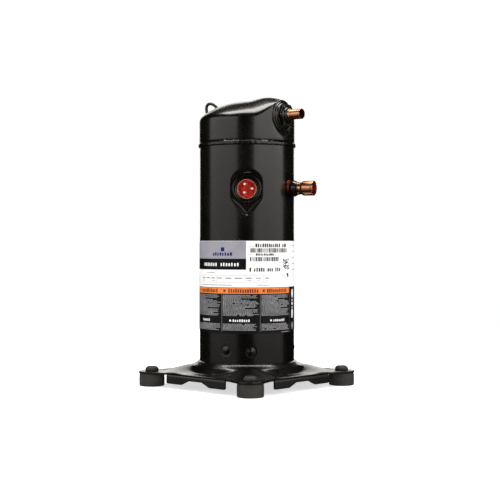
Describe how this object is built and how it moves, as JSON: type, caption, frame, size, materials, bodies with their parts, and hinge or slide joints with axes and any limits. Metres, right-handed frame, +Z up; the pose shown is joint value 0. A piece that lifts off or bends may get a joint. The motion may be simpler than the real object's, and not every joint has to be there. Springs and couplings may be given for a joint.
{
  "type": "scroll compressor",
  "caption": "Upright hermetic scroll compressor: black steel shell on a square base with rubber feet, copper suction and discharge stubs, motor, shaft and meshing scrolls inside.",
  "frame": {"origin": "on the shaft axis, in the plane under the four rubber feet", "axes": "+Z up along the shaft; the base plate's sides lie along X and Y; the discharge stub points nearly along +X"},
  "size_m": [0.2276, 0.2276, 0.405],
  "materials": {
    "gloss_black_paint": "gloss black enamel",
    "rubber": "matt moulded rubber",
    "copper": "bright drawn copper",
    "terminal_glass": "glossy red fused glass",
    "label_film": "satin printed polyester film",
    "steel": "machined steel",
    "cast_iron": "machined grey iron",
    "aluminium": "die cast, machined faces",
    "bronze": "sintered bronze",
    "lamination": "stacked electrical steel",
    "winding": "enamelled, laced copper wire",
    "moulded_plastic": "moulded phenolic",
    "lead_black": "sleeved lead",
    "lead_red": "sleeved lead",
    "lead_yellow": "sleeved lead"
  },
  "bodies": {
    "shell": {"shell_tube": "gloss_black_paint", "lower_shell": "gloss_black_paint", "separator_plate": "gloss_black_paint", "top_cap": "gloss_black_paint", "base_plate": "gloss_black_paint", "suction_collar": "gloss_black_paint", "discharge_fitting": "gloss_black_paint", "terminal_cup": "gloss_black_paint", "lifting_eye": "gloss_black_paint", "rubber_foot_front": "rubber", "rubber_foot_right": "rubber", "rubber_foot_back": "rubber", "rubber_foot_left": "rubber", "suction_stub": "copper", "discharge_stub": "copper", "terminal_pin_c": "copper", "terminal_pin_s": "copper", "terminal_pin_r": "copper", "terminal_glass": "terminal_glass", "upper_label": "label_film", "lower_label": "label_film", "terminal_plug": "moulded_plastic", "motor_protector": "moulded_plastic", "motor_lead_c": "lead_black", "motor_lead_s": "lead_red", "motor_lead_r": "lead_yellow", "main_bearing_housing": "cast_iron", "guide_bolt_1": "steel", "guide_bolt_2": "steel", "guide_bolt_3": "steel", "guide_bolt_4": "steel", "guide_sleeve_1": "steel", "guide_sleeve_2": "steel", "guide_sleeve_3": "steel", "guide_sleeve_4": "steel", "valve_retainer": "steel", "lower_bearing_bracket": "steel", "suction_baffle": "steel", "pressure_relief_valve": "bronze", "main_bearing_bush": "bronze", "lower_bearing_bush": "bronze", "stator_core": "lamination", "stator_winding_upper": "winding", "stator_winding_lower": "winding"},
    "crank": {"crankshaft": "steel", "rotor_core": "lamination", "rotor_end_ring_upper": "aluminium", "rotor_end_ring_lower": "aluminium", "upper_counterweight": "cast_iron", "lower_counterweight": "bronze", "oil_pickup": "steel"},
    "bushing": {"drive_bushing": "steel"},
    "orbiting": {"orbiting_scroll": "cast_iron", "drive_bearing": "bronze"},
    "washer": {"thrust_washer": "steel"},
    "oldham": {"oldham_ring": "aluminium"},
    "fixed": {"fixed_scroll": "cast_iron"},
    "seal": {"floating_seal_lower": "aluminium", "floating_seal_upper": "cast_iron"},
    "valve": {"discharge_valve_disc": "steel"}
  },
  "joints": [
    {"name": "crankshaft_spin", "type": "hinge", "parent": "shell", "child": "crank", "pos_m": [0, 0, 0.16], "axis": [0, 0, 1], "continuous": true},
    {"name": "bushing_slide", "type": "slide", "parent": "crank", "child": "bushing", "axis": [1, 0, 0], "range_m": [-0.0004, 0]},
    {"name": "scroll_orbit", "type": "hinge", "parent": "bushing", "child": "orbiting", "pos_m": [0.004, 0, 0.3], "axis": [0, 0, 1], "continuous": true},
    {"name": "washer_turn", "type": "hinge", "parent": "crank", "child": "washer", "pos_m": [0.002, 0, 0.3065], "axis": [0, 0, 1], "continuous": true},
    {"name": "oldham_shuttle", "type": "hinge", "parent": "washer", "child": "oldham", "pos_m": [0.004, 0, 0.3025], "axis": [0, 0, 1], "continuous": true},
    {"name": "fixed_scroll_float", "type": "slide", "parent": "shell", "child": "fixed", "axis": [0, 0, 1], "range_m": [0, 0.0008]},
    {"name": "seal_float", "type": "slide", "parent": "fixed", "child": "seal", "axis": [0, 0, 1], "range_m": [0, 0.0008]},
    {"name": "valve_lift", "type": "slide", "parent": "shell", "child": "valve", "axis": [0, 0, 1], "range_m": [0, 0.0025]}
  ],
  "couplings": [
    {"joint": "scroll_orbit", "follows": "crankshaft_spin", "ratio": -1},
    {"joint": "washer_turn", "follows": "crankshaft_spin", "ratio": -2},
    {"joint": "oldham_shuttle", "follows": "crankshaft_spin", "ratio": 1}
  ]
}
